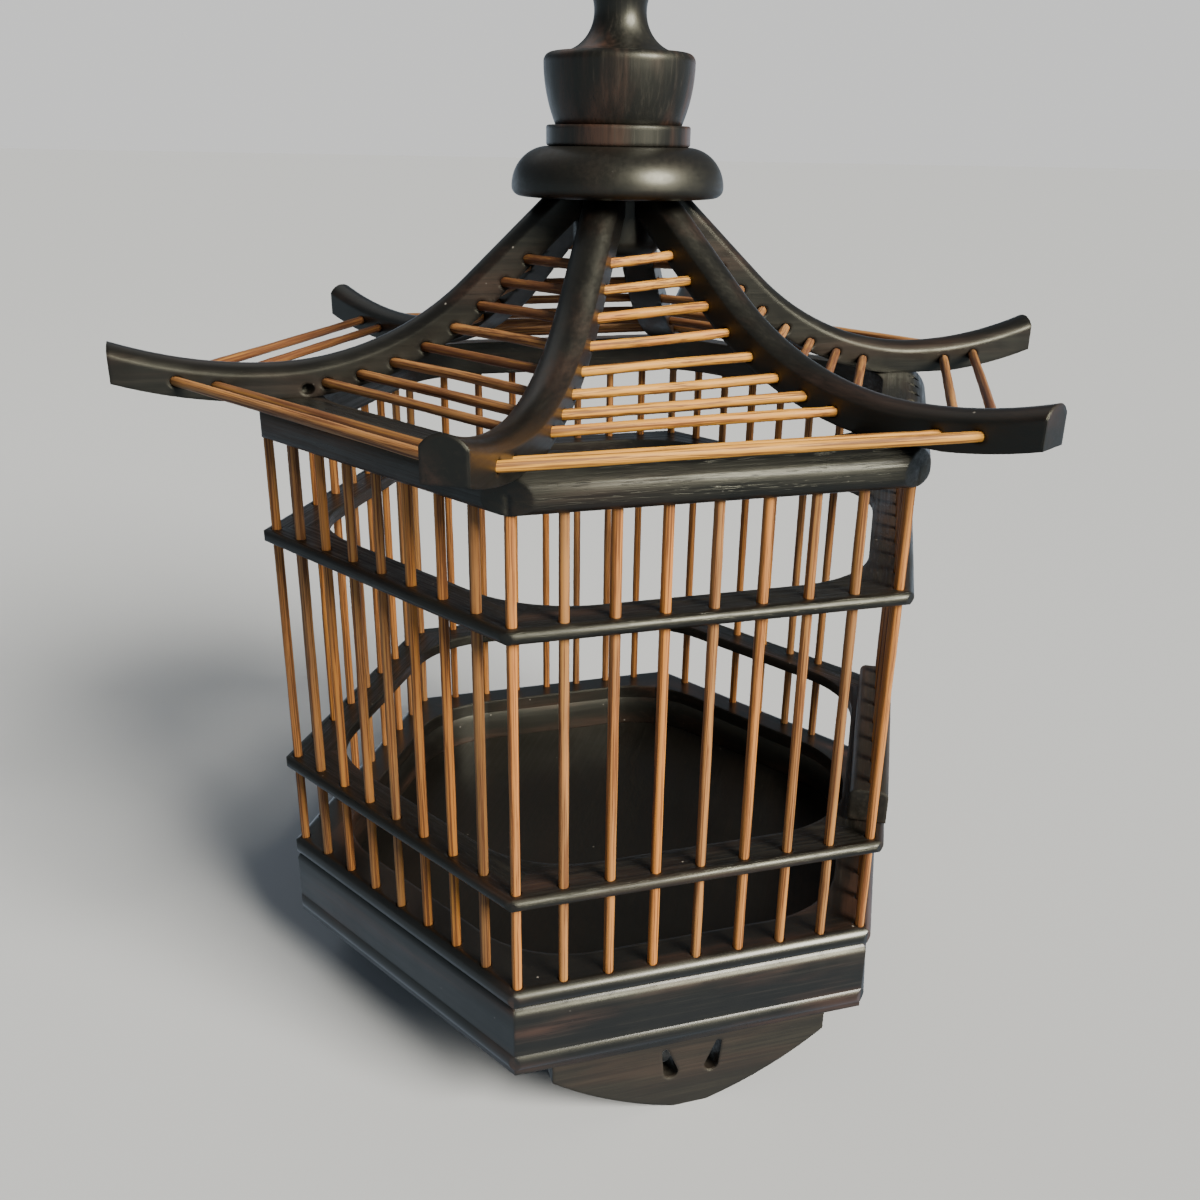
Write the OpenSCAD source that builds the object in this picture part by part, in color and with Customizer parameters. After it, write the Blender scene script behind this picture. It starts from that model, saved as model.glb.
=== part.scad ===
// Six-sided cricket cage in dark hardwood with bamboo bars.
// Millimetres, +Z up. The origin is on the cage's axis, on the plane that the feet stand on.
// The lifting door is on the side that faces -Y.

/* [Plan] */
// Side of the hexagon through the centres of the wall bars
side = 60; // [54:1:70]
// Spaces between bars along one side
spaces = 8; // [6:1:9]
// Diameter of every bamboo bar
bar_d = 1.75; // [1.4:0.05:2.2]
// Radial room of a glued bar in its hole
bar_fit = 0.05; // [0.02:0.01:0.1]
// Room left behind the end of a bar in a blind hole
end_room = 0.2; // [0.1:0.05:0.4]

/* [Base] */
// Height of the base frame
base_h = 16.5; // [15:0.5:22]
// Outer face of the base beyond the bars' centres
base_outset = 2.1; // [1.6:0.1:3]
// Wall of the base frame, from its outer face to its opening
base_wall = 7; // [6:0.25:9]
// Height of the rounded rim at the top of the base
rim_h = 3.6; // [2.5:0.1:4]
// Height of the rounded lip at the bottom of the base
lip_h = 4.6; // [3:0.1:5]
// Height by which the flat band laps the round of the rim
rim_lap = 0.6; // [0.2:0.05:0.8]
// Setback of the flat band between rim and lip
band_inset = 0.5; // [0.2:0.1:0.9]
// Radius on the upper edge of the flat band
band_edge = 2; // [0.5:0.1:2.4]
// Depth of the tray, from the base's top to its floor
tray_depth = 10; // [8:0.5:11]
// Thickness of the floor panel
floor_t = 3; // [2:0.25:4]
// Width of the ledge that the floor panel is glued up against
floor_ledge = 1.5; // [1:0.1:1.8]
// Room round the floor panel in its rebate
floor_fit = 0.1; // [0.05:0.05:0.3]
// Depth of a bar's blind hole in the base
base_socket = 4; // [3:0.25:6]

/* [Feet] */
// Height of a foot below the base
foot_h = 14.5; // [11:0.5:18]
// Width of a foot where it meets the base
foot_w = 49; // [42:1:54]
// Thickness of a foot
foot_t = 3.8; // [3:0.1:4]
// Setback of a foot from the outer face of the base
foot_setback = 1.2; // [0.8:0.1:1.6]
// Upright end of a foot, below the base
foot_end = 4; // [2.5:0.25:5]
// Width of the flat that a foot stands on
foot_land = 6; // [4:0.5:14]
// Radius of a foot's lower edge on each side of the flat
foot_bow = 65; // [50:1:90]
// Height of the tongue that holds a foot in the base
tongue_h = 2; // [1.5:0.25:3]
// Thickness of the tongue
tongue_t = 1.8; // [1.4:0.1:2.2]
// Setback of the tongue's ends from the ends of the foot
tongue_end = 4; // [2:0.5:8]
// Room round a tongue in its groove
tongue_fit = 0.1; // [0.05:0.05:0.2]
// Radius of a pierced drop's wide lower end
drop_r = 1.3; // [1:0.1:1.6]
// Radius of a pierced drop's narrow upper end
drop_tip_r = 0.6; // [0.4:0.05:0.8]
// Distance between the two ends of a pierced drop
drop_l = 4.6; // [3.5:0.1:5.5]
// Distance from the foot's middle to a drop's lower end
drop_offset = 3.7; // [3:0.1:6]
// Lean of a drop, with its upper end away from the middle
drop_lean = 14; // [0:1:25]
// Depth of a drop's upper end below the base
drop_top = 2.4; // [1.6:0.1:3]

/* [Rings] */
// Thickness of the two wall rings
ring_h = 2.2; // [1.8:0.1:3]
// Outer edge of a wall ring beyond the bars' centres
ring_outset = 2.4; // [2.1:0.1:3.5]
// Width of a wall ring
ring_w = 7.2; // [6:0.2:9]
// Top of the lower ring above the base
lower_ring_top = 17.6; // [14:0.2:22]
// Top of the upper ring above the base
upper_ring_top = 61.8; // [56:0.2:66]
// Corner radius of the openings in the rings and the tray
opening_corner = 20; // [14:0.5:26]
// Wood taken off the outer corners of the wall rings and the base
corner_ease = 0.6; // [0.3:0.1:1]

/* [Eave ring] */
// Underside of the eave ring above the base
eave_bottom = 78; // [72:0.5:86]
// Thickness of the eave ring
eave_h = 6.6; // [6.4:0.1:8]
// Outer face of the eave ring beyond the bars' centres
eave_outset = 2.6; // [2:0.1:4]
// Width of the eave ring
eave_w = 8; // [7:0.25:10]
// Radius on the lower edge of the eave ring's outer face
eave_edge = 1.8; // [1:0.1:2]
// Radius on the upper edge of the eave ring's outer face
eave_shoulder = 4.2; // [2.4:0.1:4.4]
// Wood taken off the outer corners of the eave ring
eave_ease = 2; // [0.6:0.1:2.6]
// Depth of a bar's blind hole in the eave ring
eave_socket = 3; // [2:0.25:4]

/* [Door] */
// Height of the door's rail
rail_h = 5.8; // [4.5:0.1:8]
// Width of the door's rail
rail_w = 6.4; // [5:0.1:8]
// Outer face of the rail beyond the bars' centres
rail_outset = 2.5; // [2:0.1:3.2]
// Gap from the centre of a corner bar to the end of the rail
rail_end_gap = 4.3; // [3:0.1:6]
// Radius on the rail's upper edges
rail_edge = 1.2; // [0.6:0.1:1.8]
// Depth of a door bar's blind hole in the rail
rail_socket = 4; // [3:0.25:4.25]
// Radial room of a door bar in the holes that it slides through
slide_fit = 0.1; // [0.05:0.01:0.1]
// Gap between the closed door's rail and the lower ring
seat_gap = 0.2; // [0.1:0.05:0.4]

/* [Ribs] */
// Width of a roof rib
rib_w = 6; // [5:0.1:8]
// Depth of a roof rib, from its crown to its underside
rib_depth = 5.8; // [5.4:0.1:7.5]
// Radius across the rounded crown of a rib
rib_crown = 3.6; // [3.5:0.1:6]
// Radius of the rib's sweep, between its lowest point and its straight top
sweep_r = 47.6; // [42:0.2:54]
// Radius of the rib's upturned end
upturn_r = 72; // [62:0.2:90]
// Slope of the straight top of a rib
pitch_angle = 43; // [38:0.5:48]
// Distance from the corner bar's centre in to the rib's lowest point
low_inset = 1.2; // [0:0.1:3]
// Reach of the rib's tip beyond the corner bar's centre
overhang = 22.8; // [20:0.2:30]
// Length that the worn rib lacks at its tip
worn_off = 3; // [1:0.1:4]
// Depth of the flat that is cut under a rib where it sits on the eave ring
rib_seat = 0.3; // [0.2:0.05:0.6]

/* [Roof bars] */
// Bars in each roof panel, above the eave
roof_bar_count = 8; // [6:1:8]
// Distance along the crown from the rib's lowest point to the first roof bar
roof_bar_start = 8; // [7:0.1:10]
// Distance along the crown from one roof bar to the next
roof_bar_pitch = 5.35; // [4.6:0.05:5.6]
// Distance along the crown from the rib's lowest point out to the first eave bar
eave_bar_start = 8.2; // [7:0.1:9]
// Distance along the crown between the two eave bars
eave_bar_pitch = 5.9; // [4.5:0.1:7]
// Depth of the bars below the crown
bar_drop = 3.7; // [3:0.1:4.2]
// Distance along the crown from the rib's lowest point to the empty hole
spare_start = 5; // [4:0.1:5.2]
// Depth of the empty hole below the crown
spare_drop = 4.2; // [3:0.1:4.3]
// Slide of the rows of holes along the ribs, out on two of them and in on two
row_slide = 1.2; // [0:0.1:1.5]
// Depth of a bar's blind hole in the side of a rib
rib_socket = 1.6; // [1.2:0.1:1.9]

/* [Crown] */
// Radius from the axis at which a rib's crown meets the boss
crown_seat = 12.6; // [12:0.1:15]
// Radius of the hub that the ribs are glued to
hub_r = 7.4; // [6.8:0.1:8.5]
// Height of the hub below the boss
hub_h = 9.5; // [7:0.5:14]
// Radius on the hub's lower edge
hub_edge = 2.5; // [1:0.1:3.5]
// Gap between a rib and the hub's wall
hub_gap = 0.05; // [0.02:0.01:0.1]
// Radius of the boss
boss_r = 17.7; // [16.2:0.1:21]
// Radius on the boss's lower edge
boss_edge = 1.5; // [1:0.1:3]
// Radius on the boss's upper edge
boss_shoulder = 6.3; // [4:0.1:7]
// Radius of the collar
collar_r = 11.9; // [11:0.1:14]
// Height of the collar
collar_h = 3.2; // [2:0.1:5]
// Radius on the collar's edges
collar_edge = 0.4; // [0.2:0.1:0.8]
// Radius of the cup at its foot
cup_foot_r = 10.4; // [9:0.1:10.8]
// Radius of the cup at its widest
cup_r = 12.3; // [11.5:0.1:15]
// Height of the cup
cup_h = 10.8; // [8.5:0.1:14]
// Radius on the cup's rim
cup_edge = 1.4; // [1:0.1:2]
// Radius of the neck above the cup
neck_r = 4.2; // [3.4:0.1:4.8]
// Radius of the hollow round the neck
neck_hollow = 6; // [4.5:0.1:6.2]
// Radius of the ball on top
ball_r = 7; // [5.5:0.1:9]
// Diameter of the dowel through hub, boss, collar and finial
dowel_d = 4; // [3:0.1:5]
// Radial room of the dowel in its hole
dowel_fit = 0.05; // [0.02:0.01:0.1]
// Length of the dowel inside the finial
dowel_in_finial = 7; // [4:0.5:9]
// Length of the dowel inside the hub
dowel_in_hub = 6; // [4:0.5:6]

/* [Hidden] */
$fn = 64;

// Sides are counted from the one between 0 and 60 degrees
BACK_RIGHT = 0;
BACK = 1;
BACK_LEFT = 2;
FRONT_LEFT = 3;
FRONT = 4;
FRONT_RIGHT = 5;
SIDES = [0:5];
FOOT_SIDES = [BACK, FRONT_LEFT, FRONT_RIGHT];
// Ribs are counted from the one at 0 degrees
SPARE_HOLE_RIB = 2;
WORN_RIB = 4;
// Way that the row of holes slides on each rib, out or in
ROW_WAYS = [0, 0, 1, 1, -1, -1];

EBONY = [0.10, 0.08, 0.07];
BAMBOO = [0.72, 0.46, 0.22];

cut = 1;
far = 3 * side;
half_turn = 180;

bar_line = side * cos(30);
bar_hole_r = bar_d / 2 + bar_fit;
slide_hole_r = bar_d / 2 + slide_fit;

base_top = foot_h + base_h;
base_apothem = bar_line + base_outset;
tray_apothem = base_apothem - base_wall;
floor_top = base_top - tray_depth;
rebate_apothem = tray_apothem + floor_ledge;
foot_outer = base_apothem - foot_setback;

lower_ring_z = base_top + lower_ring_top - ring_h;
upper_ring_z = base_top + upper_ring_top - ring_h;
ring_apothem = bar_line + ring_outset;

eave_z = base_top + eave_bottom;
eave_top = eave_z + eave_h;
eave_apothem = bar_line + eave_outset;

bar_foot = base_top - base_socket + end_room;
bar_top = eave_z + eave_socket - end_room;
wall_bar_l = bar_top - bar_foot;

rail_l = side - 2 * rail_end_gap;
rail_z = lower_ring_z + ring_h + seat_gap;
rail_outer = bar_line + rail_outset;

// The crown of a rib: an arc in from its lowest point, a straight top, and an arc out to its tip
low_r = side - low_inset;
low_z = eave_top - rib_seat + rib_depth;
sweep_l = sweep_r * pitch_angle * PI / half_turn;
sweep_end = [low_r - sweep_r * sin(pitch_angle), low_z + sweep_r * (1 - cos(pitch_angle))];
boss_z = sweep_end[1] + (sweep_end[0] - crown_seat) * tan(pitch_angle);
hub_z = boss_z - hub_h;

roof_bar_places = [for (k = [0:roof_bar_count - 1]) -(roof_bar_start + k * roof_bar_pitch)];
eave_bar_places = [eave_bar_start, eave_bar_start + eave_bar_pitch];
bar_places = concat(roof_bar_places, eave_bar_places);
// Distance along a bar from the middle of a rib to the floor of its blind hole
socket_floor = (rib_w / 2 - rib_socket) / sin(60);

boss_h = boss_edge + boss_shoulder;
collar_z = boss_z + boss_h;
cup_z = collar_z + collar_h;
// The cup's wall is an arc from its foot to its widest point, where the rim begins
cup_wide_h = cup_h - cup_edge;
cup_wall_r = (pow(cup_r - cup_foot_r, 2) + pow(cup_wide_h, 2)) / (2 * (cup_r - cup_foot_r));
neck_z = cup_h + neck_hollow;
neck_centre = neck_r + neck_hollow;
ball_z = neck_z + sqrt(pow(neck_hollow + ball_r, 2) - pow(neck_centre, 2));

function corner_angle(i) = 60 * i;
function face_angle(i) = 60 * i + 30;
function bar_along(k) = k * side / spaces - side / 2;
function tip_r(i) = side + overhang - (i == WORN_RIB ? worn_off : 0);

// Slope of the crown at a place along it, counted outward from its lowest point
function crown_slope(s) =
    s >= 0 ? s / upturn_r * half_turn / PI : -min(-s, sweep_l) / sweep_r * half_turn / PI;

// Point [r, z] at a depth below the crown, at a place along it
function under_crown(s, depth) =
    let (a = crown_slope(s), straight = max(0, -s - sweep_l))
    let (arc_r = s >= 0 ? upturn_r : sweep_r)
    [
        low_r + (arc_r + depth) * sin(a) - straight * cos(a),
        low_z + arc_r - (arc_r + depth) * cos(a) - straight * sin(a)
    ];

// Point in the middle of a rib that a bar aims at
function bar_aim(i, place, depth) =
    let (p = under_crown(place + ROW_WAYS[i] * row_slide, depth))
    [p[0] * cos(corner_angle(i)), p[0] * sin(corner_angle(i)), p[1]];

// Places along a side, with X pointing out
module on_face(i) {
    rotate(face_angle(i)) children();
}

module at_wall_bars(i) {
    on_face(i)
        for (k = [1:spaces - 1])
            translate([bar_line, bar_along(k), 0]) children();
}

module at_corner_bars() {
    for (i = SIDES)
        rotate(corner_angle(i)) translate([side, 0, 0]) children();
}

module at_fixed_bars() {
    at_corner_bars() children();
    for (i = SIDES)
        if (i != FRONT) at_wall_bars(i) children();
}

// Children at a distance along the line from one point to another, with Z pointing along it
module along(from, to, distance) {
    d = to - from;
    translate(from) rotate([0, atan2(norm([d[0], d[1]]), d[2]), atan2(d[1], d[0])])
        translate([0, 0, distance]) children();
}

// Hexagon with round corners
module round_hex(apothem, corner_r) {
    inner = apothem - corner_r;
    for (i = SIDES) {
        on_face(i) translate([0, -inner * tan(30)]) square([apothem, 2 * inner * tan(30)]);
        rotate(corner_angle(i)) translate([inner / cos(30), 0]) circle(corner_r);
    }
}

// Hexagon with sharp corners
module sharp_hex(apothem) {
    circle(r = apothem / cos(30), $fn = 6);
}

// Hexagonal plate whose edge has the profile of the children, which reach in from X = 0
module moulded_hex(apothem, h, ease) {
    intersection() {
        intersection_for (i = SIDES)
            on_face(i) translate([apothem, far / 2, 0]) rotate([90, 0, 0]) linear_extrude(far) children();
        translate([0, 0, -cut]) cylinder(h = h + 2 * cut, r = apothem / cos(30) - ease);
    }
}

// Profile of a plate with a wide round on its upper edge and a narrow one on its lower edge
module eased_edge(h, edge, shoulder) {
    translate([-far, 0]) {
        square([far - shoulder, h]);
        square([far - edge, h - shoulder]);
        translate([0, edge]) square([far, h - shoulder - edge]);
    }
    translate([-edge, edge]) circle(edge);
    intersection() {
        translate([-shoulder, h - shoulder]) circle(shoulder);
        translate([-far, h - shoulder]) square([far, shoulder]);
    }
}

// Profile of a plate with a half-round outer edge
module half_round_edge(h) {
    translate([-far, 0]) square([far - h / 2, h]);
    translate([-h / 2, h / 2]) circle(h / 2);
}

module bar(l) {
    cylinder(h = l, d = bar_d);
}

// Base frame

module base_profile() {
    band_top = base_h - rim_h + rim_lap;
    half_round_edge(lip_h);
    translate([-far, 0]) {
        square([far - band_inset, band_top - band_edge]);
        square([far - band_inset - band_edge, band_top]);
    }
    translate([-band_inset - band_edge, band_top - band_edge]) circle(band_edge);
    translate([0, base_h - rim_h]) half_round_edge(rim_h);
}

module tongue(room) {
    l = foot_w - 2 * tongue_end;
    translate([foot_outer - foot_t / 2 - tongue_t / 2 - room, -l / 2 - room, base_top - base_h - cut])
        cube([tongue_t + 2 * room, l + 2 * room, cut + tongue_h + room]);
}

module base_frame() {
    color(EBONY)
    difference() {
        translate([0, 0, foot_h]) moulded_hex(base_apothem, base_h, corner_ease) base_profile();
        translate([0, 0, foot_h - cut])
            linear_extrude(base_h + 2 * cut) round_hex(tray_apothem, opening_corner);
        translate([0, 0, foot_h - cut])
            linear_extrude(floor_top - foot_h + cut) sharp_hex(rebate_apothem);
        for (i = FOOT_SIDES)
            on_face(i) tongue(tongue_fit);
        translate([0, 0, base_top - base_socket]) {
            at_fixed_bars() cylinder(h = base_socket + cut, r = bar_hole_r);
            at_wall_bars(FRONT) cylinder(h = base_socket + cut, r = bar_hole_r);
        }
    }
}

module floor_panel() {
    color(EBONY)
    translate([0, 0, floor_top - floor_t])
        linear_extrude(floor_t) sharp_hex(rebate_apothem - floor_fit);
}

// Feet

// Pierced drop, from its wide lower end at the origin to its narrow upper end
module drop() {
    slope = asin((drop_r - drop_tip_r) / drop_l);
    circle(drop_r);
    translate([0, drop_l]) circle(drop_tip_r);
    polygon([
        [drop_r * cos(slope), drop_r * sin(slope)],
        [drop_tip_r * cos(slope), drop_l + drop_tip_r * sin(slope)],
        [-drop_tip_r * cos(slope), drop_l + drop_tip_r * sin(slope)],
        [-drop_r * cos(slope), drop_r * sin(slope)]
    ]);
}

// Outline of a foot, with Y up from the plane that it stands on
module foot_outline() {
    run = (foot_w - foot_land) / 2;
    drop_h = foot_h - foot_end;
    chord = norm([run, drop_h]);
    to_centre = sqrt(pow(foot_bow, 2) - pow(chord / 2, 2));
    bow_x = foot_land / 2 + run / 2 - to_centre * drop_h / chord;
    bow_y = drop_h / 2 + to_centre * run / chord;
    difference() {
        intersection() {
            translate([-foot_w / 2, 0]) square([foot_w, foot_h]);
            translate([bow_x, bow_y]) circle(foot_bow);
            translate([-bow_x, bow_y]) circle(foot_bow);
        }
        for (s = [-1, 1])
            translate([s * drop_offset, foot_h - drop_top - drop_l * cos(drop_lean)])
                rotate(-s * drop_lean) drop();
    }
}

module foot(i) {
    color(EBONY)
    on_face(i) {
        translate([foot_outer - foot_t, 0, 0]) rotate([90, 0, 90]) linear_extrude(foot_t) foot_outline();
        tongue(0);
    }
}

// Rings

module wall_ring(z, door_hole_r) {
    color(EBONY)
    translate([0, 0, z])
    difference() {
        moulded_hex(ring_apothem, ring_h, corner_ease) half_round_edge(ring_h);
        translate([0, 0, -cut]) {
            linear_extrude(ring_h + 2 * cut) round_hex(ring_apothem - ring_w, opening_corner);
            at_fixed_bars() cylinder(h = ring_h + 2 * cut, r = bar_hole_r);
            at_wall_bars(FRONT) cylinder(h = ring_h + 2 * cut, r = door_hole_r);
        }
    }
}

module eave_ring() {
    color(EBONY)
    translate([0, 0, eave_z])
    difference() {
        moulded_hex(eave_apothem, eave_h, eave_ease) eased_edge(eave_h, eave_edge, eave_shoulder);
        translate([0, 0, -cut]) {
            linear_extrude(eave_h + 2 * cut) round_hex(eave_apothem - eave_w, opening_corner);
            at_fixed_bars() cylinder(h = cut + eave_socket, r = bar_hole_r);
            at_wall_bars(FRONT) cylinder(h = eave_h + 2 * cut, r = slide_hole_r);
        }
    }
}

// Wall bars and door

module corner_bars() {
    color(BAMBOO) translate([0, 0, bar_foot]) at_corner_bars() bar(wall_bar_l);
}

module wall_bars(i) {
    color(BAMBOO) translate([0, 0, bar_foot]) at_wall_bars(i) bar(wall_bar_l);
}

module sill_bars() {
    color(BAMBOO) translate([0, 0, bar_foot]) at_wall_bars(FRONT) bar(lower_ring_z + ring_h - bar_foot);
}

module rail_profile() {
    square([rail_w, rail_h - rail_edge]);
    translate([rail_edge, 0]) square([rail_w - 2 * rail_edge, rail_h]);
    for (x = [rail_edge, rail_w - rail_edge])
        translate([x, rail_h - rail_edge]) circle(rail_edge);
}

module door_rail() {
    color(EBONY)
    difference() {
        on_face(FRONT) translate([rail_outer - rail_w, rail_l / 2, rail_z])
            rotate([90, 0, 0]) linear_extrude(rail_l) rail_profile();
        translate([0, 0, rail_z + rail_h - rail_socket])
            at_wall_bars(FRONT) cylinder(h = rail_socket + cut, r = bar_hole_r);
    }
}

module door_bars() {
    door_bar_foot = rail_z + rail_h - rail_socket + end_room;
    color(BAMBOO) translate([0, 0, door_bar_foot])
        at_wall_bars(FRONT) bar(bar_top - door_bar_foot);
}

// Roof

// Section of a rib, with X from its crown to its underside
module rib_section() {
    half = rib_w / 2;
    rise = rib_crown - sqrt(pow(rib_crown, 2) - pow(half, 2));
    intersection() {
        translate([0, -half]) square([rib_crown, rib_w]);
        translate([rib_crown, 0]) circle(rib_crown);
    }
    translate([rise, -half]) square([rib_depth - rise, rib_w]);
}

// Arc of a rib about a centre above its lowest point, from one angle to another
module rib_arc(arc_r, from, to) {
    translate([low_r, 0, low_z + arc_r]) rotate([90, 0, 0]) rotate(from - 90)
        rotate_extrude(angle = to - from) translate([arc_r, 0]) rib_section();
}

module rib_body() {
    tip_angle = asin((side + overhang - low_r) / (upturn_r - rib_depth));
    rib_arc(sweep_r, -pitch_angle, 0);
    rib_arc(upturn_r, 0, tip_angle);
    translate([low_r, 0, low_z + sweep_r]) rotate([90, 0, 0]) rotate(-90 - pitch_angle) rotate([90, 0, 0])
        linear_extrude(sweep_end[0] / cos(pitch_angle)) translate([sweep_r, 0]) rib_section();
}

// Blind hole in the side of a rib for a bar that aims at the next rib, on one side or the other
module rib_hole(i, place, depth, way) {
    next = (i + way + len(ROW_WAYS)) % len(ROW_WAYS);
    along(bar_aim(i, place, depth), bar_aim(next, place, depth), socket_floor)
        cylinder(h = rib_w, r = bar_hole_r);
}

module rib(i) {
    color(EBONY)
    difference() {
        rotate(corner_angle(i)) rib_body();
        rotate(corner_angle(i)) translate([tip_r(i), -far / 2, 0]) cube(far);
        translate([-far / 2, -far / 2, eave_top - far]) cube(far);
        translate([-far / 2, -far / 2, boss_z]) cube(far);
        translate([0, 0, hub_z - far / 2]) cylinder(h = far, r = hub_r + hub_gap);
        for (place = bar_places, way = [-1, 1])
            rib_hole(i, place, bar_drop, way);
        if (i == SPARE_HOLE_RIB) rib_hole(i, -spare_start, spare_drop, 1);
    }
}

module roof_bars(i) {
    next = (i + 1) % len(ROW_WAYS);
    color(BAMBOO)
    for (place = bar_places) {
        from = bar_aim(i, place, bar_drop);
        to = bar_aim(next, place, bar_drop);
        room = socket_floor + end_room;
        along(from, to, room) bar(norm(to - from) - 2 * room);
    }
}

// Crown of the roof

module dowel_hole(from, l) {
    translate([0, 0, from]) cylinder(h = l, r = dowel_d / 2 + dowel_fit);
}

module roof_hub() {
    color(EBONY)
    difference() {
        translate([0, 0, hub_z]) {
            translate([0, 0, hub_edge]) cylinder(h = hub_h - hub_edge, r = hub_r);
            cylinder(h = hub_h, r = hub_r - hub_edge);
            translate([0, 0, hub_edge]) rotate_extrude() translate([hub_r - hub_edge, 0]) circle(hub_edge);
        }
        dowel_hole(boss_z - dowel_in_hub, dowel_in_hub + cut);
    }
}

module boss_profile() {
    square([boss_r - boss_shoulder, boss_h]);
    square([boss_r - boss_edge, boss_edge]);
    intersection() {
        translate([boss_r - boss_shoulder, boss_edge]) circle(boss_shoulder);
        translate([0, boss_edge]) square([boss_r, boss_shoulder]);
    }
    intersection() {
        translate([boss_r - boss_edge, boss_edge]) circle(boss_edge);
        square([boss_r, boss_edge]);
    }
}

module roof_boss() {
    color(EBONY)
    difference() {
        translate([0, 0, boss_z]) rotate_extrude() boss_profile();
        dowel_hole(boss_z - cut, boss_h + 2 * cut);
    }
}

module collar_profile() {
    square([collar_r - collar_edge, collar_h]);
    translate([0, collar_edge]) square([collar_r, collar_h - 2 * collar_edge]);
    for (z = [collar_edge, collar_h - collar_edge])
        translate([collar_r - collar_edge, z]) circle(collar_edge);
}

module collar() {
    color(EBONY)
    difference() {
        translate([0, 0, collar_z]) rotate_extrude() collar_profile();
        dowel_hole(collar_z - cut, collar_h + 2 * cut);
    }
}

// Half section of the finial: cup, hollow neck and ball
module finial_profile() {
    intersection() {
        translate([cup_r - cup_wall_r, cup_wide_h]) circle(cup_wall_r);
        square([cup_r, cup_wide_h]);
    }
    translate([0, cup_h / 2]) square([cup_r - cup_edge, cup_h / 2]);
    intersection() {
        translate([cup_r - cup_edge, cup_wide_h]) circle(cup_edge);
        translate([0, cup_wide_h]) square([cup_r, cup_edge]);
    }
    difference() {
        translate([0, cup_h / 2]) square([neck_centre, ball_z - cup_h / 2]);
        translate([neck_centre, neck_z]) circle(neck_hollow);
        translate([neck_r + cut, neck_z]) square(neck_centre);
    }
    intersection() {
        translate([0, ball_z]) circle(ball_r);
        translate([0, neck_z]) square(far);
    }
}

module finial() {
    color(EBONY)
    difference() {
        translate([0, 0, cup_z]) rotate_extrude() finial_profile();
        dowel_hole(cup_z - cut, cut + dowel_in_finial);
    }
}

module finial_dowel() {
    from = boss_z - dowel_in_hub + end_room;
    color(EBONY) translate([0, 0, from]) cylinder(h = cup_z + dowel_in_finial - end_room - from, d = dowel_d);
}

base_frame();
floor_panel();
foot(FRONT_LEFT);  // foot_front_left
foot(FRONT_RIGHT);  // foot_front_right
foot(BACK);  // foot_back
wall_ring(lower_ring_z, bar_hole_r);  // lower_ring
wall_ring(upper_ring_z, slide_hole_r);  // upper_ring
eave_ring();
corner_bars();
wall_bars(BACK_RIGHT);  // wall_bars_back_right
wall_bars(BACK);  // wall_bars_back
wall_bars(BACK_LEFT);  // wall_bars_back_left
wall_bars(FRONT_LEFT);  // wall_bars_front_left
wall_bars(FRONT_RIGHT);  // wall_bars_front_right
sill_bars();
door_rail();
door_bars();
rib(0);  // rib_right
rib(1);  // rib_back_right
rib(2);  // rib_back_left
rib(3);  // rib_left
rib(4);  // rib_front_left
rib(5);  // rib_front_right
roof_bars(BACK_RIGHT);  // roof_bars_back_right
roof_bars(BACK);  // roof_bars_back
roof_bars(BACK_LEFT);  // roof_bars_back_left
roof_bars(FRONT_LEFT);  // roof_bars_front_left
roof_bars(FRONT);  // roof_bars_front
roof_bars(FRONT_RIGHT);  // roof_bars_front_right
roof_hub();
roof_boss();
collar();
finial();
finial_dowel();
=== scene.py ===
import math
import random

import bmesh
import bpy
from bpy.props import FloatProperty, FloatVectorProperty, IntProperty, PointerProperty
from mathutils import Matrix, Vector


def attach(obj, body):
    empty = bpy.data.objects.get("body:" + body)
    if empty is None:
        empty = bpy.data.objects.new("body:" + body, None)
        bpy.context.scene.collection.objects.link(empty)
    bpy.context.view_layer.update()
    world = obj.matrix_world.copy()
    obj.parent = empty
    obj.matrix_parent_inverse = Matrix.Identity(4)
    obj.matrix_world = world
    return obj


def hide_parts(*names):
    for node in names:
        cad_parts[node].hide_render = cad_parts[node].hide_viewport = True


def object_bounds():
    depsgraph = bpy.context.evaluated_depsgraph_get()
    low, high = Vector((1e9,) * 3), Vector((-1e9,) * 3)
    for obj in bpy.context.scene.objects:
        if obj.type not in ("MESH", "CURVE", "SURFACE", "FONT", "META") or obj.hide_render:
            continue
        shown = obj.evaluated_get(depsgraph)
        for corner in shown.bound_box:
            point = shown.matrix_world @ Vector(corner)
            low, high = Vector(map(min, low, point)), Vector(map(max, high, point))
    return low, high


bl_info = {
    "name": "Cricket cage",
    "version": (1, 0, 0),
    "blender": (4, 5, 0),
    "location": "3D View > Sidebar > Cricket cage",
    "description": "Split bamboo bars, dark wood finishes and a stage for a hexagonal cricket cage",
    "category": "Add Mesh",
}

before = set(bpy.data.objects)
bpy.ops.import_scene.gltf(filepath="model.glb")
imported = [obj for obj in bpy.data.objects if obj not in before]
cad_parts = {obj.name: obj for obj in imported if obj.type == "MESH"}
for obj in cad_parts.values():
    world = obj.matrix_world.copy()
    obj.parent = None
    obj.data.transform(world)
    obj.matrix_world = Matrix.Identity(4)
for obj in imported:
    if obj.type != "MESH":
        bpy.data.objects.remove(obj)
CAD_LOW, CAD_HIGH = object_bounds()

SIXTH = math.pi / 3
UP = Vector((0, 0, 1))

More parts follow.
